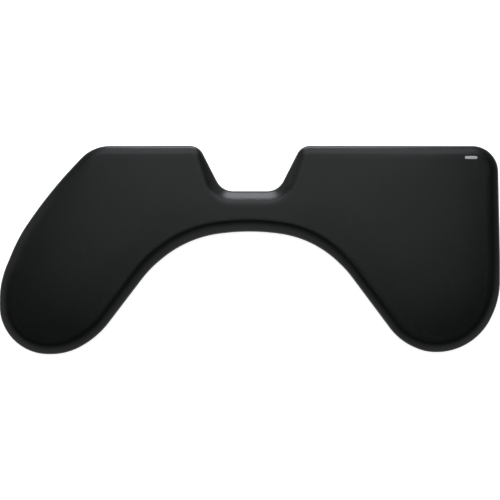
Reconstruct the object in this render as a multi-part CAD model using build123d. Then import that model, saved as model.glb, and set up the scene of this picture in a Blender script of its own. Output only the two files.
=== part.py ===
from build123d import *
import math
import os

# A desk forearm-support pad: a flat, padded, leatherette-covered board with a notch for a
# pointing device in its back edge and a curved bay for the user's body in its front edge.
# Millimetres. X is the user's right, Y points away from the user, Z is up. The origin is the
# middle of the pad's box, on the surface that its rubber grip pads stand on.

# ---- driving dimensions -------------------------------------------------------------------
WIDTH = 720.0          # tip of the left wing to the right side
DEPTH = 300.0          # front of the left wing to the back edge
HEIGHT = 22.0          # desk to the top of the pad
RIGHT_SETBACK = 3.0    # the right wing ends this much short of the left one

NOTCH_MOUTH = 147.0    # between the notch's back corners
NOTCH_FLOOR = 81.0     # between the notch's floor corners
NOTCH_DEPTH = 65.0     # back edge to the notch floor
NECK = 58.5            # notch floor to the crown of the bay
CROWN_RISE = 1.9       # the bay's crown corner stands this far beyond the arc that rounds it
ARC_GAP = 0.2          # shortest straight left between two neighbouring arcs of the outline

SKIN = 1.0             # leatherette
TOP_ROLL = 13.0        # radius of the cover's rolled top edge
BOTTOM_ROLL = 4.0      # radius of its bottom edge
LEAST_SIDE = 1.0       # upright side kept between the two rolls
HEM = 24.0             # how far in from the outline the cover is turned under

BOARD = 6.0            # thickness of the core board
BOARD_INSET = 7.0      # outline to the board's edge, filled by foam
SUPPORT_FOAM = 4.0     # thickness of the firm lower foam

LINER = 2.0            # underside liner
LINER_INSET = 12.0
LINER_GAP = 0.3        # between the liner's raised middle and the hem's cut edge

GRIP = 2.0             # thickness of a rubber grip pad
GRIP_DIAMETER = 30.0

PLATE = 2.0            # steel plate that stiffens the neck
PLATE_LENGTH = 250.0
PLATE_MARGIN = 4.0     # board left on each side of the plate at the neck
PLATE_CORNER = 8.0
RIVET_SHANK = 4.0
RIVET_HEAD = 8.0       # countersunk head, flush with the plate
RIVET_HEAD_DEPTH = 1.6
RIVET_TAIL = 7.0       # closed tail, sunk in the board's underside
RIVET_TAIL_DEPTH = 1.2
RIVET_PLACES = (-110.0, -68.0, -27.0, 27.0, 68.0, 110.0)

NUT_SPACING_X = 300.0  # M6 tee nuts for a pair of desk brackets
NUT_SPACING_Y = 50.0
NUT_SETBACK = 30.0     # back edge to the rear row of tee nuts
NUT_CORE = 5.0         # core diameter of the M6 thread
NUT_BARREL = 8.0
NUT_FLANGE = 19.0
NUT_FLANGE_THICKNESS = 1.3
NUT_CLEARANCE = 0.5    # round and above a flange in the foam
PRONG = (1.2, 3.0, 4.5)    # a tee nut's prong: thickness, width, length below the flange
PRONG_COUNT = 3
PRONG_SETBACK = 1.0    # the flange's rim to its prongs
ACCESS_HOLE = 10.0     # in the liner, under each tee nut

STAPLE_INSET = 18.0
STAPLE_PITCH = 42.0
STAPLE_CROWN = 10.0
STAPLE_WIRE = (1.2, 0.6)   # width and thickness
STAPLE_LEG = 4.0

MARK_LENGTH = 18.0     # plain heat-pressed bar near the back right corner
MARK_WIDTH = 4.2
MARK_THICKNESS = 0.2
MARK_PLACE = (43.0, 17.5)  # from the right side and from the back edge

# The outline's corners, anticlockwise from above: the datums that place each one, how far it lies
# from them along X and Y, and the radius that rounds it.
OUTLINE = (
    ("left", 134.0, "back", 0.0, 58.0),            # left shoulder
    ("left", 72.0, "back", -66.0, 640.0),          # long outer side of the left wing
    ("left", 27.5, "back", -130.5, 230.0),
    ("left", 0.0, "left_front", 104.0, 133.0),
    ("left", 0.0, "left_front", 0.0, 70.0),        # left wing tip
    ("left", 99.0, "left_front", 0.0, 89.0),
    ("left", 143.0, "left_front", 27.0, 127.0),
    ("middle", -144.5, "crown", -56.0, 166.0),     # bay, left half
    ("middle", -88.0, "crown", -9.0, 163.0),
    ("middle", 4.0, "crown", 0.0, 305.0),          # crown of the bay
    ("middle", 90.5, "crown", -11.0, 150.0),       # bay, right half
    ("middle", 139.5, "crown", -57.5, 152.0),
    ("right", -144.5, "right_front", 16.0, 88.0),
    ("right", -107.0, "right_front", 0.0, 70.0),   # right wing tip
    ("right", -36.5, "right_front", 0.0, 87.0),
    ("right", 0.0, "right_front", 76.5, 118.0),
    ("right", 0.0, "back", -164.5, 205.0),         # straight outer side of the right wing
    ("right", -3.5, "back", 0.0, 38.0),            # back right corner
    ("notch_right", 0.4, "back", 0.0, 20.5),       # notch
    ("floor_right", 0.4, "floor", 0.0, 26.0),
    ("floor_left", 0.4, "floor", 0.0, 26.0),
    ("notch_left", 0.4, "back", 0.0, 20.5),
)

# Grip pads: name, then the same kind of place as the outline's corners.
GRIP_PADS = (
    ("left_back", "left", 145.0, "back", -50.0),
    ("left_outer", "left", 62.0, "left_front", 140.0),
    ("left_tip", "left", 72.0, "left_front", 48.0),
    ("left_inner", "middle", -190.0, "crown", -48.0),
    ("right_back", "right", -62.0, "back", -50.0),
    ("right_outer", "right", -48.0, "right_front", 137.0),
    ("right_tip", "right", -72.0, "right_front", 46.0),
    ("right_inner", "middle", 190.0, "crown", -48.0),
)

# ---- worked out from the driving dimensions -------------------------------------------------
HEM_BOTTOM = GRIP + LINER - SKIN
BOARD_BOTTOM = GRIP + LINER
BOARD_TOP = BOARD_BOTTOM + BOARD
SUPPORT_TOP = BOARD_TOP + SUPPORT_FOAM
SKIN_INSIDE_TOP = HEIGHT - SKIN

DATUM = {
    "left": -WIDTH / 2,
    "right": WIDTH / 2,
    "middle": 0.0,
    "notch_left": -NOTCH_MOUTH / 2,
    "notch_right": NOTCH_MOUTH / 2,
    "floor_left": -NOTCH_FLOOR / 2,
    "floor_right": NOTCH_FLOOR / 2,
    "back": DEPTH / 2,
    "left_front": -DEPTH / 2,
    "right_front": -DEPTH / 2 + RIGHT_SETBACK,
    "floor": DEPTH / 2 - NOTCH_DEPTH,
    "crown": DEPTH / 2 - NOTCH_DEPTH - NECK + CROWN_RISE,
}


def at(x_from, dx, y_from, dy):
    return Vector(DATUM[x_from] + dx, DATUM[y_from] + dy)


def turn_at(before, corner, after):
    """Signed turn of the outline at a corner, in radians: positive where the pad bulges out."""
    a, b = corner - before, after - corner
    return math.atan2(a.X * b.Y - a.Y * b.X, a.X * b.X + a.Y * b.Y)


def fitted_radii(points, radii, turns):
    """The radii, made smaller where two neighbouring arcs would meet on the side they share."""
    count = len(points)
    tangents = [r * abs(math.tan(t / 2)) for r, t in zip(radii, turns)]
    share = [1.0] * count
    for i in range(count):
        j = (i + 1) % count
        room = (points[j] - points[i]).length - ARC_GAP
        if tangents[i] + tangents[j] > room:
            fit = room / (tangents[i] + tangents[j])
            share[i], share[j] = min(share[i], fit), min(share[j], fit)
    return [r * s for r, s in zip(radii, share)]


def outline(inset=0.0):
    """The pad's outline, moved in by inset: every side moves in, outer corners lose that much
    radius and inner corners gain it, so the curves stay parallel."""
    points = [at(*corner[:4]) for corner in OUTLINE]
    count = len(points)
    turns = [turn_at(points[i - 1], points[i], points[(i + 1) % count]) for i in range(count)]
    radii = fitted_radii(points, [corner[4] for corner in OUTLINE], turns)
    moved = []
    for i in range(count):
        ahead = (points[(i + 1) % count] - points[i]).normalized()
        inward = Vector(-ahead.Y, ahead.X)
        along = ahead * (inset * math.tan(turns[i] / 2))
        moved.append(points[i] + inward * inset + along)
    radii = [max(r - math.copysign(inset, t), 0.0) for r, t in zip(radii, turns)]
    return FilletPolyline(*moved, radius=radii, close=True)


def slab(inset, bottom, top):
    """A plate of the pad's outline, moved in by inset, between two heights."""
    return Solid.extrude(Face(outline(inset).wire()), Vector(0, 0, top - bottom)).moved(
        Location((0, 0, bottom))
    )


def rolled_form(inset, bottom, top, bottom_roll, top_roll):
    """A slab with rounded top and bottom edges. The top roll is limited by the slab's side."""
    form = slab(inset, bottom, top)
    top_roll = min(top_roll, top - bottom - bottom_roll - LEAST_SIDE)
    form = fillet(form.faces().sort_by(Axis.Z)[-1].edges(), top_roll)
    return fillet(form.faces().sort_by(Axis.Z)[0].edges(), bottom_roll)


def post(diameter, bottom, top, x=0.0, y=0.0):
    return Solid.make_cylinder(diameter / 2, top - bottom, Plane((x, y, bottom)))


def group(solids):
    return Compound(children=list(solids))


# ---- fasteners and metal parts --------------------------------------------------------------
def nut_places():
    rear = DATUM["back"] - NUT_SETBACK
    return [
        (x, y)
        for x in (-NUT_SPACING_X / 2, NUT_SPACING_X / 2)
        for y in (rear, rear - NUT_SPACING_Y)
    ]


def tee_nut(x, y):
    """A round flange on the board, a barrel through it and prongs pressed into it."""
    nut = post(NUT_FLANGE, BOARD_TOP, BOARD_TOP + NUT_FLANGE_THICKNESS)
    nut += post(NUT_BARREL, BOARD_BOTTOM, BOARD_TOP)
    thick, wide, long = PRONG
    inner_side = NUT_FLANGE / 2 - PRONG_SETBACK - thick
    prong = Solid.make_box(thick, wide, long, Plane((inner_side, -wide / 2, BOARD_TOP - long)))
    for k in range(PRONG_COUNT):
        nut += prong.rotate(Axis.Z, 360 / PRONG_COUNT * k)
    nut -= post(NUT_CORE, BOARD_BOTTOM, BOARD_TOP + NUT_FLANGE_THICKNESS)
    return nut.solid().moved(Location((x, y, 0)))


def rivet(x, y):
    """A countersunk rivet: head flush with the plate, tail flush with the board's underside."""
    head_bottom = BOARD_TOP - RIVET_HEAD_DEPTH
    body = post(RIVET_SHANK, BOARD_BOTTOM, BOARD_TOP)
    body += Solid.make_cone(
        RIVET_SHANK / 2, RIVET_HEAD / 2, RIVET_HEAD_DEPTH, Plane((0, 0, head_bottom))
    )
    body += post(RIVET_TAIL, BOARD_BOTTOM, BOARD_BOTTOM + RIVET_TAIL_DEPTH)
    return body.solid().moved(Location((x, y, 0)))


def staple():
    """A flat-crown staple, crown down and legs up, at the origin and along X."""
    wide, thick = STAPLE_WIRE
    body = Solid.make_box(STAPLE_CROWN, wide, thick, Plane((-STAPLE_CROWN / 2, -wide / 2,
                                                            HEM_BOTTOM)))
    for x in (-STAPLE_CROWN / 2, STAPLE_CROWN / 2 - thick):
        body += Solid.make_box(thick, wide, STAPLE_LEG + thick, Plane((x, -wide / 2, HEM_BOTTOM)))
    return body.solid()


def staples():
    """Staples along the hem, evenly spaced and in line with the outline."""
    line = outline(STAPLE_INSET).wire()
    count = round(line.length / STAPLE_PITCH)
    one = staple()
    placed = []
    for k in range(count):
        along = line.length * (k + 0.5) / count
        place = line.position_at(along, position_mode=PositionMode.LENGTH)
        heading = line.tangent_at(along, position_mode=PositionMode.LENGTH)
        angle = math.degrees(math.atan2(heading.Y, heading.X))
        placed.append(one.moved(Location((place.X, place.Y, 0), (0, 0, angle))))
    return placed


def neck_plate(middle, width):
    """A flat steel strip with rounded corners, let into the board's top."""
    shape = Plane((0, middle, BOARD_TOP - PLATE)) * RectangleRounded(
        PLATE_LENGTH, width, PLATE_CORNER
    )
    return extrude(shape, PLATE, dir=(0, 0, 1)).solid()


# ---- the pieces -----------------------------------------------------------------------------
def make_parts():
    nuts = [tee_nut(x, y) for x, y in nut_places()]
    neck_middle = DATUM["floor"] - NECK / 2
    plate = neck_plate(neck_middle, NECK - 2 * (BOARD_INSET + PLATE_MARGIN))
    rivets = [rivet(x, neck_middle) for x in RIVET_PLACES]
    tacks = staples()

    board = slab(BOARD_INSET, BOARD_BOTTOM, BOARD_TOP) - plate
    board = board.cut(*nuts, *rivets, *tacks)
    board = board.cut(*[post(NUT_CORE, BOARD_BOTTOM, BOARD_TOP, x, y) for x, y in nut_places()])
    plate = plate.cut(*rivets)

    flange_room = NUT_FLANGE_THICKNESS + NUT_CLEARANCE
    support = slab(BOARD_INSET, BOARD_TOP, SUPPORT_TOP).cut(
        *[
            post(NUT_FLANGE + 2 * NUT_CLEARANCE, BOARD_TOP, BOARD_TOP + flange_room, x, y)
            for x, y in nut_places()
        ]
    )

    inside = rolled_form(
        SKIN, BOARD_BOTTOM, SKIN_INSIDE_TOP, BOTTOM_ROLL - SKIN, TOP_ROLL - SKIN
    )
    comfort = inside - slab(BOARD_INSET, BOARD_BOTTOM, SUPPORT_TOP)

    mark_x = DATUM["right"] - MARK_PLACE[0]
    mark_y = DATUM["back"] - MARK_PLACE[1]
    mark_shape = Plane((mark_x, mark_y, HEIGHT - MARK_THICKNESS)) * SlotOverall(
        MARK_LENGTH, MARK_WIDTH
    )
    mark = extrude(mark_shape, MARK_THICKNESS, dir=(0, 0, 1)).solid()
    cover = rolled_form(0.0, HEM_BOTTOM, HEIGHT, BOTTOM_ROLL, TOP_ROLL) - inside
    cover = cover.cut(slab(HEM, HEM_BOTTOM, BOARD_BOTTOM), mark, *tacks)

    liner = slab(LINER_INSET, GRIP, HEM_BOTTOM)
    liner += slab(HEM + LINER_GAP, HEM_BOTTOM, BOARD_BOTTOM)
    liner = liner.cut(
        *[post(ACCESS_HOLE, GRIP, BOARD_BOTTOM, x, y) for x, y in nut_places()]
    )

    parts = {
        "cover": cover,
        "corner_mark": mark,
        "comfort_foam": comfort,
        "support_foam": support,
        "core_board": board,
        "neck_plate": plate,
        "neck_rivets": group(rivets),
        "tee_nuts": group(nuts),
        "staples": group(tacks),
        "underside_liner": liner,
    }
    for name, *place in GRIP_PADS:
        centre = at(*place)
        parts[f"grip_pad_{name}"] = post(GRIP_DIAMETER, 0, GRIP, centre.X, centre.Y)
    return parts


os.makedirs("parts", exist_ok=True)
for node, shape in make_parts().items():
    export_step(shape, f"parts/{node}.step")
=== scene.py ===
import math

import bmesh
import bpy
import numpy as np
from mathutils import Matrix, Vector
from mathutils.geometry import delaunay_2d_cdt


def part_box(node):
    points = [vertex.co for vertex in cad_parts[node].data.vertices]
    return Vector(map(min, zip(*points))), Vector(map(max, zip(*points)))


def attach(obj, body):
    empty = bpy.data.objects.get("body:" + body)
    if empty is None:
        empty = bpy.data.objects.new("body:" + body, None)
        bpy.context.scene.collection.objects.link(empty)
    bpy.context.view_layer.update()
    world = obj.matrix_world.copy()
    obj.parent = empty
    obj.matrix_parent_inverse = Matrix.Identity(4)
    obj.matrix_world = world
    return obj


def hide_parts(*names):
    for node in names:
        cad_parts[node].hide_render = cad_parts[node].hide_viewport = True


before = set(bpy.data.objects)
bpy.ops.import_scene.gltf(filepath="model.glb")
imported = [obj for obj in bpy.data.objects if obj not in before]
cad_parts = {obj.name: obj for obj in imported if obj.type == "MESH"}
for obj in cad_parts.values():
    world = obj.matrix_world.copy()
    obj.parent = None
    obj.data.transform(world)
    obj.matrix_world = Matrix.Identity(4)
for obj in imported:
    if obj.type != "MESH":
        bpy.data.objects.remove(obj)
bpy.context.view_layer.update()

MM = 0.001

# ---- Core board -----------------------------------------------------------------------------
# A 6 mm medium-density fibreboard panel, routed to the pad's outline, that carries everything
# else. Its faces are sanded, and its routed edge, where it stands upright, is painted darker:
# painted shade.


class Link:
    """A socket's output in a material. Arithmetic on it adds Math nodes to that material."""

    def __init__(self, finish, socket):
        self.finish, self.socket = finish, socket

    def maths(self, operation, *values):
        inputs = dict(enumerate(values))
        return self.finish.node("Math", {"operation": operation}, inputs)

    def __add__(self, other):
        return self.maths("ADD", self, other)

    def __sub__(self, other):
        return self.maths("SUBTRACT", self, other)

    def __rsub__(self, other):
        return self.maths("SUBTRACT", other, self)

    def __mul__(self, other):
        return self.maths("MULTIPLY", self, other)

    __radd__ = __add__


class Finish:
    """A material being made. Constants go straight onto its Principled shader's sockets."""

    def __init__(self, name, **constants):
        self.material = bpy.data.materials.new(name)
        self.material.use_nodes = True
        self.tree = self.material.node_tree
        self.shader = self.tree.nodes["Principled BSDF"]
        for socket, value in constants.items():
            self.shader.inputs[socket.replace("_", " ")].default_value = value
        self.place = self.node("TexCoord", output="Object")

    def node(self, kind, settings=(), sockets=(), output=0):
        """Adds a node: its settings first (a ramp's stops are position to colour), then its
        sockets' values or links. Gives the output asked for."""
        made = self.tree.nodes.new("ShaderNode" + kind)
        settings = dict(settings)
        stops = settings.pop("stops", None)
        for key, value in settings.items():
            setattr(made, key, value)
        if stops:
            elements = made.color_ramp.elements
            for element, (position, colour) in zip(elements, stops):
                element.position, element.color = position, (*colour, 1)
            for position, colour in stops[len(elements):]:
                elements.new(position).color = (*colour, 1)
        for key, value in dict(sockets).items():
            self.feed(made.inputs[key], value)
        return Link(self, made.outputs[output])

    def feed(self, socket, value):
        if isinstance(value, Link):
            self.tree.links.new(value.socket, socket)
        else:
            socket.default_value = value

    def set(self, **links):
        """Links what varies over the surface to the Principled shader."""
        for socket, value in links.items():
            self.feed(self.shader.inputs[socket.replace("_", " ")], value)

    def noise(self, size, detail=2.0, roughness=0.5, place=None):
        """Cloudy noise from 0 to 1, with features about size metres across."""
        return self.node("TexNoise", {}, {
            "Vector": place or self.place, "Scale": 1 / size, "Detail": detail,
            "Roughness": roughness,
        })

    def cells(self, size, feature="F1", output="Distance", randomness=1.0):
        """Cells about size metres across: distance to the nearest centre, or to an edge."""
        return self.node("TexVoronoi", {"feature": feature}, {
            "Vector": self.place, "Scale": 1 / size, "Randomness": randomness,
        }, output)

    def stretched(self, x, y, z):
        """The object's coordinates, scaled by a factor along each axis."""
        return self.node("Mapping", {}, {"Vector": self.place, "Scale": (x, y, z)})

    def ramp(self, value, *stops):
        return self.node("ValToRGB", {"stops": stops}, {"Fac": value})

    def bump(self, height, distance, strength=1.0):
        return self.node("Bump", {}, {
            "Height": height, "Distance": distance, "Strength": strength,
        }, "Normal")


def paint(obj, finish):
    """Gives the whole piece one finish."""
    obj.data.materials.clear()
    obj.data.materials.append(finish.material)


def fibreboard():
    """Pale brown pressed fibres: fine flecks a little darker and lighter than the ground. The
    routed edge and the drilled holes, where the surface stands upright, are painted darker, as
    painted shade."""
    finish = Finish("fibreboard", Specular_IOR_Level=0.25)
    fibres = finish.noise(0.9 * MM, 4.0, 0.7, finish.stretched(1.0, 0.35, 1.0))
    blotches = finish.noise(45 * MM, 3.0)
    facing = finish.node("NewGeometry", output="Normal")
    level = finish.node("SeparateXYZ", {}, {"Vector": facing}, "Z")
    # The last term darkens upright faces: painted shade on the routed edge and in the holes.
    tone_and_shade = fibres * 0.7 + blotches * 0.3 - (1 - level * level) * 0.16
    finish.set(
        Base_Color=finish.ramp(tone_and_shade, (0.25, (0.23, 0.13, 0.065)), (0.5, (0.36, 0.22, 0.12)),
                               (0.75, (0.50, 0.34, 0.20))),
        Roughness=0.72 + fibres * 0.2,
        Normal=finish.bump(fibres, 0.12 * MM),
    )
    return finish


core_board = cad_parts["core_board"]
paint(core_board, fibreboard())

# ---- Neck plate and its rivets ----------------------------------------------------------------
# A 2 mm strip of zinc-plated steel let into the board's top across the narrow neck, so that the
# pad doesn't crack there. Six countersunk aluminium rivets hold it.


def plated_steel(name, colour, grain):
    """Zinc-plated steel: rolling lines along the strip and dull spots in the plating."""
    finish = Finish(name, Metallic=1.0)
    lines = finish.noise(1.2 * MM, 3.0, 0.6, finish.stretched(*grain))
    spots = finish.noise(6 * MM, 4.0, 0.65)
    dull = tuple(0.72 * c for c in colour)
    finish.set(
        Base_Color=finish.ramp(spots, (0.3, dull), (0.65, colour)),
        Roughness=0.26 + lines * 0.18 + spots * 0.12,
        Normal=finish.bump(lines, 0.02 * MM),
    )
    return finish


ALONG_STRIP, ALL_WAYS = (0.02, 1.0, 1.0), (1.0, 1.0, 1.0)
strip_steel = plated_steel("strip_steel", (0.60, 0.61, 0.63), ALONG_STRIP)
paint(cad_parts["neck_plate"], strip_steel)
rivet_aluminium = plated_steel("rivet_aluminium", (0.80, 0.80, 0.82), ALL_WAYS)
paint(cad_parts["neck_rivets"], rivet_aluminium)

# ---- Tee nuts ---------------------------------------------------------------------------------
# Four M6 tee nuts, pressed from steel, threaded and zinc plated. Each has a round flange on the
# board's top, a barrel down through it and three prongs. Desk brackets bolt up into them.

NUT_SPREAD = (300.0 * MM, 50.0 * MM)
NUT_SETBACK = 30.0 * MM             # pad's back edge to the rear pair
FLANGE = 9.5 * MM                   # radius
FLANGE_THICK = 1.3 * MM
BARREL = 4.0 * MM                   # radius
THREAD_CORE = 2.5 * MM              # radius inside an M6 thread, and how deep it is cut
THREAD_CUT = 0.5 * MM
THREAD_PITCH = 1.0 * MM
PRONG = (1.2 * MM, 3.0 * MM, 4.5 * MM)
PRONG_IN = 1.0 * MM                 # flange's edge to a prong
CHAMFER = 0.25 * MM
PRONG_POINT = (0.5, 0.1, 1.0)       # a prong's tip, as shares of its own thickness and width
ROWS_PER_TURN = 8                   # rows of points down each turn of the thread
ROUND = 40                          # points round a turned part


def new_piece(name, points, faces, smooth=True):
    """A mesh object at the origin, from an array of points and lists of corner numbers."""
    mesh = bpy.data.meshes.new(name)
    mesh.from_pydata(points, [], [face for group in faces for face in group.tolist()])
    mesh.polygons.foreach_set("use_smooth", np.full(len(mesh.polygons), smooth))
    obj = bpy.data.objects.new(name, mesh)
    bpy.context.scene.collection.objects.link(obj)
    return obj


def turned(radii, heights, centre):
    """A surface of revolution: point j of row i stands at radius radii[i] (or radii[i, j]) and
    height heights[i], turned j / ROUND of the way round the centre. It faces outwards where the
    rows climb on the outside."""
    angle = np.linspace(0, 2 * np.pi, ROUND, endpoint=False)[None]
    radii = np.broadcast_to(np.asarray(radii).reshape(len(heights), -1), (len(heights), ROUND))
    heights = np.broadcast_to(np.asarray(heights)[:, None], radii.shape)
    round_points = [centre[0] + radii * np.cos(angle), centre[1] + radii * np.sin(angle), heights]
    return np.stack(round_points, -1).reshape(-1, 3)


def woven(rows, columns, closed_rows=False):
    """Quads between neighbouring rows of a grid whose columns run all the way round. With
    closed_rows the last row is joined to the first as well."""
    row = np.arange(rows if closed_rows else rows - 1)[:, None]
    column = np.arange(columns)[None]
    above, after = (row + 1) % rows, (column + 1) % columns
    corners = [row * columns + column, row * columns + after,
               above * columns + after, above * columns + column]
    return np.stack(corners, -1).reshape(-1, 4)


def joined(shapes):
    """Several (points, faces) put together as one."""
    starts = np.cumsum([0] + [len(points) for points, _ in shapes])
    faces = [group + start for (_, groups), start in zip(shapes, starts) for group in groups]
    return np.concatenate([points for points, _ in shapes]), faces


board_low, board_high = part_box("core_board")
flange_top = board_high.z + FLANGE_THICK
# Up the barrel, out and over the flange, and down the bore, where the thread is a triangle wave
# that climbs one pitch in a turn.
bore = np.arange(flange_top - CHAMFER, board_low.z + CHAMFER, -THREAD_PITCH / ROWS_PER_TURN)
nut_radii = np.concatenate([[BARREL - CHAMFER, BARREL, BARREL, FLANGE - CHAMFER, FLANGE, FLANGE,
                             FLANGE - CHAMFER], np.full(len(bore), THREAD_CORE)])
nut_heights = np.concatenate([[board_low.z, board_low.z + CHAMFER, board_high.z, board_high.z,
                               board_high.z + CHAMFER, flange_top - CHAMFER, flange_top], bore])
climb = nut_heights[:, None] / THREAD_PITCH - np.arange(ROUND)[None] / ROUND
cut = THREAD_CUT * np.abs(2 * (climb % 1) - 1)
cut[:-len(bore)] = 0
prong_box = np.array([(x, y, z) for z in (-1, 0) for y in (-0.5, 0.5) for x in (-0.5, 0.5)])
prong_box *= np.where(prong_box[:, 2:] < 0, PRONG_POINT, 1.0) * PRONG
prong_box += (FLANGE - PRONG_IN - PRONG[0] / 2, 0, board_high.z + CHAMFER)
prong_sides = np.array([(0, 2, 3, 1), (4, 5, 7, 6), (0, 1, 5, 4), (1, 3, 7, 5), (3, 2, 6, 7),
                        (2, 0, 4, 6)])
nuts = []
for side in (-0.5, 0.5):
    for row in (0, 1):
        centre = np.array([side * NUT_SPREAD[0],
                           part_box("cover")[1].y - NUT_SETBACK - row * NUT_SPREAD[1], 0])
        nuts.append((turned(nut_radii[:, None] + cut, nut_heights, centre),
                     [woven(len(nut_heights), ROUND, closed_rows=True)]))
        for turn in (0, 2 * np.pi / 3, 4 * np.pi / 3):
            spin = np.array([(np.cos(turn), np.sin(turn), 0), (-np.sin(turn), np.cos(turn), 0),
                             (0, 0, 1)])
            nuts.append((prong_box @ spin + centre, [prong_sides]))
tee_nuts = new_piece("threaded_tee_nuts", *joined(nuts), smooth=False)
nut_zinc = plated_steel("nut_zinc", (0.72, 0.70, 0.62), (1.0, 1.0, 0.1))
paint(tee_nuts, nut_zinc)
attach(tee_nuts, "root")
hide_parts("tee_nuts")

# ---- Support foam -----------------------------------------------------------------------------
# A 4 mm sheet of firm polyurethane foam glued to the board, with hollows where it lies over the
# tee nuts' flanges.

MEET = 0.005 * MM                   # points closer than this are one point
FLAT_ANGLE = math.radians(0.2)      # triangles that meet flatter than this are one face
EDGE_ANGLE = math.radians(40)       # faces that meet sharper than this have an edge to soften


def applied(obj):
    """Bakes a piece's modifiers into its mesh."""
    shown = obj.evaluated_get(bpy.context.evaluated_depsgraph_get())
    mesh = bpy.data.meshes.new_from_object(shown)
    obj.modifiers.clear()
    obj.data = mesh
    return obj


def softened(name, node, radius, segments=2):
    """A copy of a CAD node's shape with its loose triangles joined and its edges rounded."""
    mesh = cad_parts[node].data.copy()
    work = bmesh.new()
    work.from_mesh(mesh)
    bmesh.ops.remove_doubles(work, verts=work.verts, dist=MEET)
    bmesh.ops.dissolve_limit(work, angle_limit=FLAT_ANGLE, verts=work.verts, edges=work.edges)
    work.to_mesh(mesh)
    work.free()
    obj = bpy.data.objects.new(name, mesh)
    bpy.context.scene.collection.objects.link(obj)
    bevel = obj.modifiers.new("soft_edge", "BEVEL")
    bevel.width, bevel.segments = radius, segments
    bevel.limit_method, bevel.angle_limit = "ANGLE", EDGE_ANGLE
    bevel.use_clamp_overlap = True
    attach(obj, "root")
    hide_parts(node)
    return applied(obj)


def foam(name, pale, deep, cell):
    """Cut foam: small open cells with a few large ones. The small cells' centres, sunk into
    hollows by the bump, are painted darker: painted shade in the pores.
    """
    finish = Finish(name, Specular_IOR_Level=0.2)
    small = finish.cells(cell)
    large = finish.cells(cell * 4.5)
    tint = finish.noise(0.06, 2.0)
    finish.set(
        # Darker where the bump sinks each small cell's centre: painted shade in the pores.
        Base_Color=finish.ramp(small * 0.7 + tint * 0.3, (0.2, deep), (0.55, pale)),
        Roughness=0.85 + small * 0.1,
        Normal=finish.bump(small + large * 0.35, 0.35 * MM),
    )
    return finish


support_foam = softened("support_foam_sheet", "support_foam", 0.5 * MM)
# The second colour is painted shade in the foam's pores.
paint(support_foam, foam("firm_foam", (0.105, 0.11, 0.12), (0.045, 0.048, 0.055), 0.7 * MM))

# ---- Comfort foam -----------------------------------------------------------------------------
# Soft polyurethane foam, wrapped down round the board's edge. Stretching the cover over it rolls
# its edge and crowns its top, which is worked out as cloth under a light pressure from inside.

SKIN = 1.0 * MM
FIT = 0.03 * MM                     # left between the skin and what it covers
AROUND = 640                        # points round the outline
RIM = 18.0 * MM                     # the outline's own rings reach this far in
GRID = 3.3 * MM                     # spacing of the points inside them
EDGE_ROLL = 4.0 * MM                # radius between the top's slope and the upright side
SLOPE_FULLNESS = 0.5                # 0 is a plain parabola, 1 keeps the slope steep for longer
SLOPE_BLEND = 12.0 * MM             # one slope runs into the next over about this far
HEM_ROLL = 4.0 * MM                 # radius of the skin's lower edge
CROWN = 1.2 * MM                    # how far the cushion swells at the most
EVENING_ROUNDS = 30                 # the swelling is evened out between neighbouring points

low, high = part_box("cover")
left, right, back = low.x, high.x, high.y
left_front, right_front = low.y, low.y + 3.0 * MM
floor = back - 65.0 * MM            # of the notch
crown = floor - 56.6 * MM           # corner at the crown of the bay

# The outline's corners, anticlockwise from above: its place, the radius that rounds it, and the
# width of the cushion's slope there and how steep that is at the edge, in degrees. It is narrow
# and slight along the back, and broad in the bay and on the notch floor, where arms come over it.
CORNERS = np.array([
    (left + 134.0 * MM, back, 58.0 * MM, 14.0 * MM, 16.0),                # left shoulder
    (left + 72.0 * MM, back - 66.0 * MM, 640.0 * MM, 14.0 * MM, 18.0),    # outer side, left wing
    (left + 27.5 * MM, back - 130.5 * MM, 230.0 * MM, 14.0 * MM, 20.0),
    (left, left_front + 104.0 * MM, 133.0 * MM, 14.0 * MM, 28.0),
    (left, left_front, 70.0 * MM, 15.5 * MM, 33.0),                       # left wing tip
    (left + 99.0 * MM, left_front, 89.0 * MM, 16.5 * MM, 34.0),
    (left + 143.0 * MM, left_front + 27.0 * MM, 127.0 * MM, 16.5 * MM, 33.0),
    (-144.5 * MM, crown - 56.0 * MM, 166.0 * MM, 17.5 * MM, 34.0),        # bay, left half
    (-88.0 * MM, crown - 9.0 * MM, 163.0 * MM, 18.5 * MM, 38.0),
    (4.0 * MM, crown, 305.0 * MM, 18.7 * MM, 40.0),                       # crown of the bay
    (90.5 * MM, crown - 11.0 * MM, 150.0 * MM, 17.5 * MM, 37.0),          # bay, right half
    (139.5 * MM, crown - 57.5 * MM, 152.0 * MM, 14.5 * MM, 32.0),
    (right - 144.5 * MM, right_front + 16.0 * MM, 88.0 * MM, 14.0 * MM, 32.0),
    (right - 107.0 * MM, right_front, 70.0 * MM, 15.0 * MM, 34.0),        # right wing tip
    (right - 36.5 * MM, right_front, 87.0 * MM, 15.0 * MM, 33.0),
    (right, right_front + 76.5 * MM, 118.0 * MM, 14.0 * MM, 28.0),
    (right, back - 164.5 * MM, 205.0 * MM, 14.0 * MM, 18.0),              # outer side, right wing
    (right - 3.5 * MM, back, 38.0 * MM, 14.0 * MM, 16.0),                 # back right corner
    (73.9 * MM, back, 20.5 * MM, 13.0 * MM, 16.0),                        # notch
    (40.9 * MM, floor, 26.0 * MM, 21.3 * MM, 36.0),
    (-40.1 * MM, floor, 26.0 * MM, 21.3 * MM, 36.0),
    (-73.1 * MM, back, 20.5 * MM, 13.0 * MM, 16.0),
])


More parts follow.
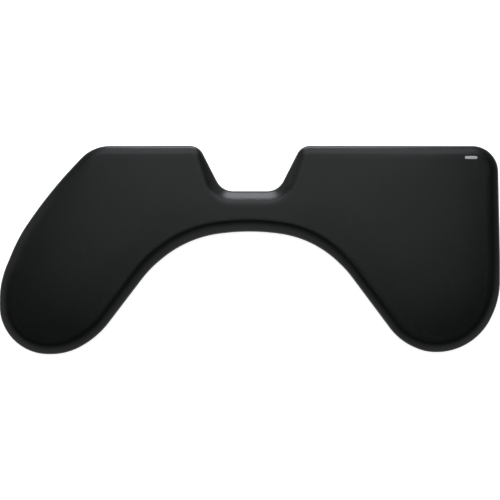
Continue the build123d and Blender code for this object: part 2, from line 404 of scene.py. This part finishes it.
def rounded_outline(corners, count):
    """Points, outward normals, curvatures, slope widths and slope tilts, evenly spaced along a
    closed polygon with rounded corners, and the length of the whole. An arc meets its two sides
    radius * tan(turn / 2) from the corner. Along it the heading grows as length / radius, and
    the point is the heading's integral. The slope changes evenly between the arcs' middles."""
    points, radius = corners[:, :2], corners[:, 2]
    side = np.roll(points, -1, 0) - points
    length = np.linalg.norm(side, axis=1)
    heading = np.arctan2(side[:, 1], side[:, 0])
    turn = (heading - np.roll(heading, 1) + np.pi) % (2 * np.pi) - np.pi
    tangent = radius * np.abs(np.tan(turn / 2))
    before = np.roll(heading, 1)
    arc_start = points - tangent[:, None] * np.stack([np.cos(before), np.sin(before)], 1)
    line_start = points + tangent[:, None] * np.stack([np.cos(heading), np.sin(heading)], 1)
    arc_length = radius * np.abs(turn)
    line_length = length - tangent - np.roll(tangent, -1)
    # Arcs and sides in turn: start, heading at the start, curvature and length of each.
    start = np.stack([arc_start, line_start], 1).reshape(-1, 2)
    first = np.stack([before, heading], 1).ravel()
    bend = np.stack([np.sign(turn) / radius, np.zeros(len(turn))], 1).ravel()
    ends = np.stack([arc_length, line_length], 1).ravel().cumsum()
    place = (np.arange(count) + 0.5) / count * ends[-1]
    part = np.searchsorted(ends, place)
    run = place - np.concatenate([[0], ends])[part]
    curve, angle = bend[part], first[part]
    now = angle + curve * run
    flat = np.abs(curve) < 1e-9
    curve_safe = np.where(flat, 1.0, curve)
    east = np.where(flat, run * np.cos(angle), (np.sin(now) - np.sin(angle)) / curve_safe)
    north = np.where(flat, run * np.sin(angle), (np.cos(angle) - np.cos(now)) / curve_safe)
    path = start[part] + np.stack([east, north], 1)
    outward = np.stack([np.sin(now), -np.cos(now)], 1)
    middles = ends[::2] - arc_length / 2
    slopes = [np.interp(place, middles, column, period=ends[-1]) for column in corners.T[3:]]
    return path, outward, curve, *slopes, ends[-1]


def softened_along(values, reach):
    """Values round the outline, averaged with their neighbours by a bell curve of that reach.
    Multiplying Fourier transforms gives that average for a closed line."""
    steps = np.arange(AROUND) - AROUND // 2
    bell = np.exp(-(steps * girth / AROUND / reach) ** 2)
    bell = np.roll(bell / bell.sum(), -(AROUND // 2))
    return np.real(np.fft.ifft(np.fft.fft(values) * np.fft.fft(bell)))


path, outward, bending, slope_width, slope_tilt, girth = rounded_outline(CORNERS, AROUND)
slope_width = softened_along(slope_width, SLOPE_BLEND)
slope_tilt = np.radians(softened_along(slope_tilt, SLOPE_BLEND))


def rings(insets, heights):
    """Rings of points round the pad: each is the outline moved in by an inset, at a height.
    Both may be single numbers for a ring or vary along it."""
    insets = np.broadcast_to(np.asarray(insets).reshape(len(insets), -1), (len(insets), AROUND))
    heights = np.broadcast_to(np.asarray(heights).reshape(len(heights), -1), insets.shape)
    flat = path[None] - outward[None] * insets[..., None]
    return np.concatenate([flat, heights[..., None]], 2)


def bands(first, count, flip=False):
    """Quads between count neighbouring rings of AROUND points, the first point being number
    first. They face outwards where the rings run up the outside of the pad."""
    quads = woven(count, AROUND) + first
    return quads[:, ::-1] if flip else quads


def distance_inside(points):
    """How far each point lies inside the outline, which is the least distance to any of its
    sides, and the number of that side."""
    a, b = path, np.roll(path, -1, 0)
    side = b - a
    offset = points[:, None] - a[None]
    along = (offset * side).sum(2) / (side * side).sum(1)
    near = offset - np.clip(along, 0, 1)[..., None] * side
    squared = (near * near).sum(2)
    nearest = squared.argmin(1)
    return np.sqrt(squared[np.arange(len(points)), nearest]), nearest


def filling(ring, step):
    """Points and triangles that fill a closed ring. A triangular grid of points, kept 0.6 step
    clear of the ring, is joined to it by Delaunay triangles. The ring's points come first."""
    low, high = ring.min(0), ring.max(0)
    row = step * math.sqrt(3) / 2
    x, y = np.meshgrid(np.arange(low[0], high[0], step), np.arange(low[1], high[1], row))
    x = x + (np.arange(len(x)) % 2)[:, None] * step / 2
    grid = np.stack([x.ravel(), y.ravel()], 1)
    a, b = ring, np.roll(ring, -1, 0)
    above = (a[None, :, 1] > grid[:, None, 1]) != (b[None, :, 1] > grid[:, None, 1])
    rise = np.where(np.abs(b[:, 1] - a[:, 1]) < 1e-12, 1e-12, b[:, 1] - a[:, 1])
    cross = a[None, :, 0] + (grid[:, None, 1] - a[None, :, 1]) * ((b - a)[:, 0] / rise)[None]
    inside = ((above & (cross > grid[:, None, 0])).sum(1) % 2) == 1
    grid = grid[inside]
    grid = grid[distance_inside(grid)[0] > RIM + 0.6 * step]
    points = np.concatenate([ring, grid])
    made = delaunay_2d_cdt(list(map(Vector, points)), [], [list(range(len(ring)))], 1, 1e-7)
    assert len(made[0]) == len(points)
    return points, np.array(made[2])


rim_ring = rings([RIM], [0.0])[0, :, :2]
top_flat, top_faces = filling(rim_ring, GRID)
inner_flat = top_flat[AROUND:]
inner_depth, inner_side = distance_inside(inner_flat)

# The foam's outside, in rings: under the board's edge, round the bottom edge, up and over.
UNDER_ROWS, LOWER_ROWS, UPPER_ROWS = 2, 5, 20
foam_bottom, foam_top = board_low.z, high.z - SKIN
board_inset = board_low.x - low.x
lower_roll = HEM_ROLL - SKIN


def over_the_edge(inset, width, tilt):
    """Height of the foam this far in from the outline. The side turns over on a tight arc, of
    EDGE_ROLL, until it reaches the tilt. From there the slope eases off to level at the width:
    at a share u of the way back to the edge its steepness is the tilt's times
    (1 + SLOPE_FULLNESS) u - SLOPE_FULLNESS u^2, and the height is that one's integral."""
    join = SKIN + EDGE_ROLL * (1 - np.sin(tilt))
    run = width - join
    share = np.clip((width - inset) / run, 0, 1)
    eased = (1 + SLOPE_FULLNESS) * share**2 / 2 - SLOPE_FULLNESS * share**3 / 3
    reach = np.clip((SKIN + EDGE_ROLL - np.minimum(inset, join)) / EDGE_ROLL, 0, 1)
    turned_over = EDGE_ROLL * (np.cos(tilt) - np.sqrt(1 - reach**2))
    return foam_top - run * np.tan(tilt) * eased - turned_over


under = np.linspace(board_inset, SKIN + lower_roll, UNDER_ROWS, endpoint=False)
lower = np.linspace(0, np.pi / 2, LOWER_ROWS)
upper = np.linspace(0, np.pi / 2, UPPER_ROWS)
lower_inset = np.concatenate([under, SKIN + lower_roll * (1 - np.sin(lower))])
lower_height = foam_bottom + lower_roll * np.concatenate([np.zeros(UNDER_ROWS), 1 - np.cos(lower)])
upper_inset = (SKIN + (RIM - SKIN) * (1 - np.cos(upper)))[:, None]
lower_rings = rings(lower_inset, lower_height)
upper_rings = rings(upper_inset, over_the_edge(upper_inset, slope_width[None], slope_tilt[None]))
RINGS = len(lower_rings) + len(upper_rings)
shell = np.concatenate([lower_rings, upper_rings]).reshape(-1, 3)
inner_height = over_the_edge(inner_depth, slope_width[inner_side], slope_tilt[inner_side])
top = np.concatenate([inner_flat, inner_height[:, None]], 1)
skin_points = np.concatenate([shell, top])
top_corner = np.where(top_faces < AROUND, top_faces + (RINGS - 1) * AROUND,
                      top_faces - AROUND + RINGS * AROUND)
skin_faces = [bands(0, RINGS), top_corner]


def crowned(points, faces, held, pressure=4.0, frames=20):
    """The points after cloth simulation: the sheet swells under pressure from inside, with no
    gravity, while the points in held stay where they are."""
    sheet = new_piece("swelling", points, faces)
    group = sheet.vertex_groups.new(name="held")
    group.add(held.tolist(), 1.0, "REPLACE")
    cloth = sheet.modifiers.new("swell", "CLOTH")
    cloth.settings.quality = 4
    cloth.settings.mass = 0.3
    cloth.settings.tension_stiffness = 40
    cloth.settings.compression_stiffness = 40
    cloth.settings.bending_stiffness = 2.0
    cloth.settings.use_pressure = True
    cloth.settings.uniform_pressure_force = pressure
    cloth.settings.vertex_group_mass = "held"
    cloth.settings.effector_weights.gravity = 0
    cloth.collision_settings.use_collision = False
    cloth.point_cache.frame_end = frames
    scene = bpy.context.scene
    for frame_number in range(1, frames + 1):
        scene.frame_set(frame_number)
    shown = sheet.evaluated_get(bpy.context.evaluated_depsgraph_get())
    swollen = np.empty(len(points) * 3, np.float32)
    shown.data.vertices.foreach_get("co", swollen)
    mesh = sheet.data
    bpy.data.objects.remove(sheet)
    bpy.data.meshes.remove(mesh)
    scene.frame_set(1)
    return swollen.reshape(-1, 3).astype(float)


def evened(values, faces, rounds):
    """Values at the points, each averaged with its neighbours', rounds times."""
    corners = np.concatenate([np.stack([f, np.roll(f, -1, 1)], -1).reshape(-1, 2) for f in faces])
    pairs = np.concatenate([corners, corners[:, ::-1]])
    count = np.bincount(pairs[:, 0], minlength=len(values))[:, None]
    for _ in range(rounds):
        total = np.stack([
            np.bincount(pairs[:, 0], values[pairs[:, 1], k], len(values)) for k in range(3)
        ], 1)
        values = 0.5 * values + 0.5 * total / count
    return values


held = np.arange(len(lower_rings) * AROUND)
swell = crowned(skin_points, skin_faces, held) - skin_points
swell = evened(swell, skin_faces, EVENING_ROUNDS)
swell *= CROWN / swell[:, 2].max()
swell[:len(held)] = 0
skin_points = skin_points + swell


def normals_of(points, faces):
    """Unit normals at the points: the sum of the crossed diagonals of the faces round each."""
    total = np.zeros_like(points)
    for f in faces:
        p = points[f]
        crossed = np.cross(p[:, 2] - p[:, 0], p[:, -1] - p[:, 1])
        for k in range(f.shape[1]):
            for axis in range(3):
                total[:, axis] += np.bincount(f[:, k], crossed[:, axis], len(points))
    return total / np.linalg.norm(total, axis=1, keepdims=True)


skin_normals = normals_of(skin_points, skin_faces)

# The recess for the board and the firm foam closes the shape: up its wall and across its roof.
WALL_ROWS, ROOF_ROWS = 3, 4
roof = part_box("support_foam")[1].z
wall_inset = np.concatenate([np.full(WALL_ROWS, board_inset),
                             np.linspace(board_inset, RIM, ROOF_ROWS + 1)[1:]])
wall_height = np.concatenate([np.linspace(foam_bottom, roof, WALL_ROWS + 1)[1:],
                              np.full(ROOF_ROWS, roof)])
recess = rings(wall_inset, wall_height).reshape(-1, 3)
ceiling = np.concatenate([inner_flat, np.full((len(inner_flat), 1), roof)], 1)
outside = len(skin_points)
foam_points = np.concatenate([skin_points, recess, ceiling])
last_ring = outside + (len(wall_inset) - 1) * AROUND
ceiling_corner = np.where(top_faces < AROUND, top_faces + last_ring,
                          top_faces - AROUND + last_ring + AROUND)
first_wall = np.stack([
    np.arange(AROUND), np.roll(np.arange(AROUND), -1),
    np.roll(np.arange(AROUND), -1) + outside, np.arange(AROUND) + outside,
], 1)
foam_faces = [*skin_faces, first_wall[:, ::-1], bands(outside, len(wall_inset), flip=True),
              ceiling_corner[:, ::-1]]
comfort_foam = new_piece("comfort_foam_pad", foam_points, foam_faces)
# The second colour is painted shade in the foam's pores.
paint(comfort_foam, foam("soft_foam", (0.72, 0.66, 0.47), (0.46, 0.39, 0.24), 0.9 * MM))
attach(comfort_foam, "root")
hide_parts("comfort_foam")

# ---- Cover ------------------------------------------------------------------------------------
# One sheet of black polyurethane leatherette, 1 mm thick, stretched over the foam with no seam,
# rolled round the edge and turned under the board as a hem, with small pleats at the corners.

HEM = 24.0 * MM                     # outline to the skin's cut edge
HEM_ROOM = 0.84                     # the hem's most reach, as a share of an outer corner's radius
PLEATED_RADIUS = 60.0 * MM          # corners tighter than this gather the hem fully
HEM_BLEND = 10.0 * MM               # the hem's reach and its pleats change over about this far
PLEAT = 0.45 * MM                   # height of a pleat
PLEAT_POINTS = 4                    # of the outline's points that one pleat takes
# Share of the way from the board's edge to the hem's cut, and how high the pleats stand there.
# Under the liner they are pressed flat.
HEM_RINGS = np.array([(1.0, 0), (0.7, 0), (0.4, 0), (0.29, 0.35), (0.24, 0.8), (0.18, 1),
                      (0.09, 0.6)])

# Where the outline is tightest the hem is cut back, so that it doesn't meet itself.
room_inside = np.where(bending > 1e-6, HEM_ROOM / np.maximum(bending, 1e-6), 1.0)
hem_reach = np.minimum(HEM, room_inside)
hem_reach = np.minimum(softened_along(hem_reach, HEM_BLEND), room_inside)
hem_share, standing = HEM_RINGS.T[:, :, None]
hem_inset = board_inset + hem_share * (hem_reach - board_inset)
tight = softened_along(np.clip(bending * PLEATED_RADIUS, 0, 1), HEM_BLEND)
pleats = PLEAT * tight * np.sin(np.pi * np.arange(AROUND) / PLEAT_POINTS)**2
hem_outer = rings(hem_inset, low.z - pleats * standing)
hem_inner = rings(hem_inset, np.full(len(hem_share), board_low.z - FIT))
outer = np.concatenate([hem_outer.reshape(-1, 3), skin_points + skin_normals * SKIN])
inner = np.concatenate([hem_inner.reshape(-1, 3), skin_points + skin_normals * FIT])
total_rings = len(hem_share) + RINGS
cover_top = np.where(top_faces < AROUND, top_faces + (total_rings - 1) * AROUND,
                     top_faces - AROUND + total_rings * AROUND)
sheets = [bands(0, total_rings), cover_top]
count = len(outer)
edge = np.arange(AROUND)
cut_edge = np.stack([edge, edge + count, np.roll(edge, -1) + count, np.roll(edge, -1)], 1)
cover = new_piece("cover_skin", np.concatenate([outer, inner]),
                  [*sheets, *[f[:, ::-1] + count for f in sheets], cut_edge])


def leatherette():
    """Satin black polyurethane on cloth: a fine irregular grain of rounded cells between
    shallow creases, a little smoother on their tops, with faint uneven polish."""
    finish = Finish("leatherette", Specular_IOR_Level=0.25,
                    Specular_Tint=(0.96, 1.0, 0.99, 1))
    grain = finish.cells(1.05 * MM, "SMOOTH_F1")
    creases = finish.cells(2.4 * MM, "DISTANCE_TO_EDGE")
    crease = finish.ramp(creases, (0.0, (0, 0, 0)), (0.16, (1, 1, 1)))
    pores = finish.noise(0.35 * MM, 2.0)
    polish = finish.noise(0.09, 3.0)
    height = (1 - grain) * 0.6 + crease * 0.3 + pores * 0.15
    finish.set(
        Base_Color=finish.ramp(grain * 0.5 + polish * 0.5, (0.2, (0.0016, 0.0018, 0.0018)),
                               (0.8, (0.0030, 0.0033, 0.0033))),
        Roughness=0.22 + grain * 0.07 + (polish - 0.5) * 0.06,
        Normal=finish.bump(height, 0.07 * MM, 0.7),
    )
    return finish


paint(cover, leatherette())
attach(cover, "root")
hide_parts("cover")


def grown_area(margin):
    """Area of the outline moved out by a margin: its own area, from the cross products of
    neighbouring points, plus a strip along it, plus a full circle's worth at its corners."""
    after = np.roll(path, -1, 0)
    own = (path[:, 0] * after[:, 1] - path[:, 1] * after[:, 0]).sum() / 2
    return own + girth * margin + np.pi * margin**2


# The blank reaches out from the outline by as much as the skin's run from the rim round the edge
# to the cut, less the rim.
profile = outer[:total_rings * AROUND].reshape(total_rings, AROUND, 3)
margin = np.linalg.norm(np.diff(profile, axis=0), axis=2).sum(0).mean() - RIM
grown_area(margin)

# ---- Corner mark ------------------------------------------------------------------------------
# A plain bar with round ends near the back right corner, cut from pale film a fifth of a
# millimetre thick and pressed onto the cover with heat, so that it follows the cover's top.

FILM = 0.2 * MM
GLUE = 0.02 * MM                    # between the film and the cover
ABOVE = 10.0 * MM                   # the flat bar starts this far over the cover
JOINED_ENDS = 0.01 * MM             # the rows run together at the bar's tips
MARK_ROWS, MARK_COLUMNS = 9, 41
mark_low, mark_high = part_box("corner_mark")
mark_middle = (mark_low + mark_high) / 2
mark_half, mark_round = (mark_high - mark_low).x / 2, (mark_high - mark_low).y / 2
# A bar's half width falls off as a circle does over its round ends.
east = mark_half * np.sin(np.linspace(-np.pi / 2, np.pi / 2, MARK_COLUMNS))
past = np.clip(np.abs(east) - (mark_half - mark_round), 0, mark_round)
half_width = np.sqrt(mark_round**2 - past**2)
north = np.linspace(-1, 1, MARK_ROWS)[:, None] * half_width[None]
bar = np.stack([mark_middle.x + np.broadcast_to(east, north.shape), mark_middle.y + north,
                np.full(north.shape, high.z + ABOVE)], -1).reshape(-1, 3)
row, column = np.arange(MARK_ROWS - 1)[:, None], np.arange(MARK_COLUMNS - 1)[None]
first = row * MARK_COLUMNS + column
bar_faces = np.stack([first, first + 1, first + MARK_COLUMNS + 1, first + MARK_COLUMNS], -1)
mark = new_piece("corner_mark_film", bar, [bar_faces.reshape(-1, 4)])
press = mark.modifiers.new("press", "SHRINKWRAP")
press.target, press.wrap_method = cover, "PROJECT"
press.use_project_z, press.use_negative_direction, press.use_positive_direction = True, True, False
press.offset = GLUE
weld = mark.modifiers.new("ends", "WELD")
weld.merge_threshold = JOINED_ENDS
film = mark.modifiers.new("film", "SOLIDIFY")
film.thickness, film.offset = FILM, 1
applied(mark)


def transfer_film():
    """Pale grey film, satin, faintly mottled where the leatherette's grain prints through: its
    hollows are painted darker, as painted shade.
    """
    finish = Finish("transfer_film", Specular_IOR_Level=0.3)
    printed = finish.cells(1.05 * MM, "SMOOTH_F1")
    finish.set(
        # Darker where the printed grain sinks: painted shade.
        Base_Color=finish.ramp(printed, (0.2, (0.29, 0.30, 0.31)), (0.8, (0.23, 0.24, 0.25))),
        Roughness=0.42 + printed * 0.15,
        Normal=finish.bump(1 - printed, 0.03 * MM, 0.5),
    )
    return finish


paint(mark, transfer_film())
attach(mark, "root")
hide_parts("corner_mark")

# ---- Staples ----------------------------------------------------------------------------------
# Forty-six staples of flat galvanised wire, 10 mm wide, driven up through the hem into the board
# by a staple gun. The liner covers them.

staple_wire = plated_steel("staple_wire", (0.66, 0.66, 0.68), (1.0, 1.0, 0.1))
paint(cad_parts["staples"], staple_wire)

# ---- Underside liner --------------------------------------------------------------------------
# A 2 mm sheet of foamed rubber cut to the outline, glued over the hem's raw edge and pressed
# thinner there. Four holes let the desk brackets' bolts through.

LINER_SETBACK = 12.0 * MM           # pad's outline to the liner's edge


def pebbled_rubber(name, pebble, colour, deep):
    """Matte black rubber with a moulded pebble and a little dust in its hollows."""
    finish = Finish(name, Specular_IOR_Level=0.3)
    pebbles = finish.cells(pebble, "SMOOTH_F1")
    dust = finish.noise(30 * MM, 3.0)
    finish.set(
        Base_Color=finish.ramp(pebbles * 0.6 + dust * 0.4, (0.2, colour), (0.8, deep)),
        Roughness=0.68 + dust * 0.2,
        Normal=finish.bump(1 - pebbles, 0.18 * MM),
    )
    return finish


liner = softened("underside_liner_sheet", "underside_liner", 0.35 * MM)
liner_rubber = pebbled_rubber("liner_rubber", 1.6 * MM, (0.030, 0.030, 0.032), (0.05, 0.05, 0.052))
paint(liner, liner_rubber)
grown_area(-LINER_SETBACK)

# ---- Grip pads --------------------------------------------------------------------------------
# Eight moulded rubber discs glued to the liner, which keep the pad from sliding. Round ridges
# inside a flat rim bear on the desk, and the side leans in a little so that it left its mould.

RIDGE_PITCH = 2.4 * MM
RIDGE_DEPTH = 0.45 * MM
GRIP_RIM = 1.6 * MM
GRIP_ROUND = 0.5 * MM
LEAN = 0.2 * MM
RIDGES_START = 0.4 * MM             # radius of the flat spot in the middle
RIDGE_ROWS, ROUND_ROWS = 60, 5

grip_rubber = pebbled_rubber("grip_rubber", 0.8 * MM, (0.022, 0.022, 0.024), (0.035, 0.035, 0.037))
for node in [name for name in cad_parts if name.startswith("grip_pad_")]:
    grip_low, grip_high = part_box(node)
    centre, grip_top = (grip_low + grip_high) / 2, grip_high.z
    radius = (grip_high.x - grip_low.x) / 2
    # From the middle of the ridged face out to the rim, round the edge, up, and in over the top.
    ridged = np.linspace(RIDGES_START, radius - GRIP_RIM, RIDGE_ROWS)
    bend = np.linspace(0, np.pi / 2, ROUND_ROWS)
    radii = np.concatenate([ridged, radius - GRIP_ROUND * (1 - np.sin(bend)),
                            [radius - LEAN, radius - LEAN - GRIP_ROUND / 2, GRIP_ROUND]])
    heights = np.concatenate([RIDGE_DEPTH * np.sin(np.pi * (ridged - ridged[-1]) / RIDGE_PITCH)**2,
                              GRIP_ROUND * (1 - np.cos(bend)),
                              [grip_top - GRIP_ROUND / 2, grip_top, grip_top]])
    caps = np.arange(ROUND)
    grip = new_piece(node + "_disc", turned(radii, heights, centre), [
        woven(len(radii), ROUND), caps[None, ::-1], caps[None] + (len(radii) - 1) * ROUND,
    ])
    paint(grip, grip_rubber)
    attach(grip, "root")
    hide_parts(node)

# ---- Floor, light and camera ------------------------------------------------------------------
# A plain white floor in a white room that is dark overhead. Large soft lights hang overhead, to
# the left and behind, and a small one stands low behind the pad, as a window does. The camera
# looks straight down.

FLOOR_SIZE = 24.0
half = FLOOR_SIZE / 2
floor_piece = new_piece("floor", np.array([
    (-half, -half, 0), (half, -half, 0), (half, half, 0), (-half, half, 0),
]), [np.array([(0, 1, 2, 3)])], smooth=False)
white = Finish("floor_white", Roughness=0.9, Specular_IOR_Level=0.0, Emission_Strength=0.7,
               Emission_Color=(1, 1, 1, 1))
white.set(Base_Color=white.ramp(white.noise(1.5, 2.0), (0.3, (0.86, 0.86, 0.86)),
                                (0.7, (0.88, 0.88, 0.88))))
paint(floor_piece, white)


def soft_light(name, width, depth, place, target, power, colour=(1, 1, 1)):
    """A rectangular studio light turned to face its target. It doesn't show itself."""
    lamp = bpy.data.lights.new(name, "AREA")
    lamp.shape, lamp.size, lamp.size_y = "RECTANGLE", width, depth
    lamp.energy, lamp.color = power, colour
    obj = bpy.data.objects.new(name, lamp)
    obj.location = place
    obj.rotation_euler = (Vector(target) - Vector(place)).to_track_quat("-Z", "Y").to_euler()
    obj.visible_camera = False
    bpy.context.scene.collection.objects.link(obj)


BLUISH, LILAC = (0.93, 0.95, 1.0), (0.93, 0.91, 1.0)
soft_light("overhead_softbox", 1.45, 1.2, (0.06, 0.46, 2.6), (0.06, 0.46, 0), 8.0)
soft_light("left_softbox", 0.7, 1.6, (-1.6, 0.6, 2.2), (-0.2, 0, 0), 3.2)
soft_light("sloping_softbox", 2.0, 1.2, (0.05, 1.45, 2.3), (0, 0.3, 0), 20.0, BLUISH)
soft_light("back_window", 0.7, 0.55, (0.0, 1.07, 0.50), (0, 0.08, 0.02), 12.5, LILAC)


class Sky(Finish):
    """The room all round, made of the world's own nodes."""

    def __init__(self, name):
        world = bpy.data.worlds.new(name)
        world.use_nodes = True
        bpy.context.scene.world = world
        self.tree = world.node_tree
        self.shader = self.tree.nodes["Background"]
        self.place = self.node("TexCoord", output="Generated")


room = Sky("white_room")
upward = room.node("SeparateXYZ", {}, {"Vector": room.place}, "Z")
room.set(Color=room.ramp(upward, (0.46, (1.0, 1.0, 1.0)), (0.80, (0.18, 0.18, 0.18)),
                         (0.88, (0.02, 0.02, 0.02))), Strength=1.02)

LENS, SENSOR = 100.0, 36.0          # in millimetres, as a camera's are
EDGE_HEIGHT = 10.0 * MM             # of the pad's upright sides, which just fit the view's width
VIEW_WIDTH = 1.0008                 # as a share of the pad's
EYE_OFFSET = (0.3 * MM, 0.1 * MM)   # from the pad's middle
eye_height = (right - left) * VIEW_WIDTH * LENS / SENSOR + EDGE_HEIGHT
eye = bpy.data.cameras.new("camera")
eye.lens, eye.sensor_width = LENS, SENSOR
camera = bpy.data.objects.new("camera", eye)
camera.location = (*EYE_OFFSET, eye_height)
bpy.context.scene.collection.objects.link(camera)
bpy.context.scene.camera = camera
bpy.context.scene.view_settings.view_transform = "Standard"
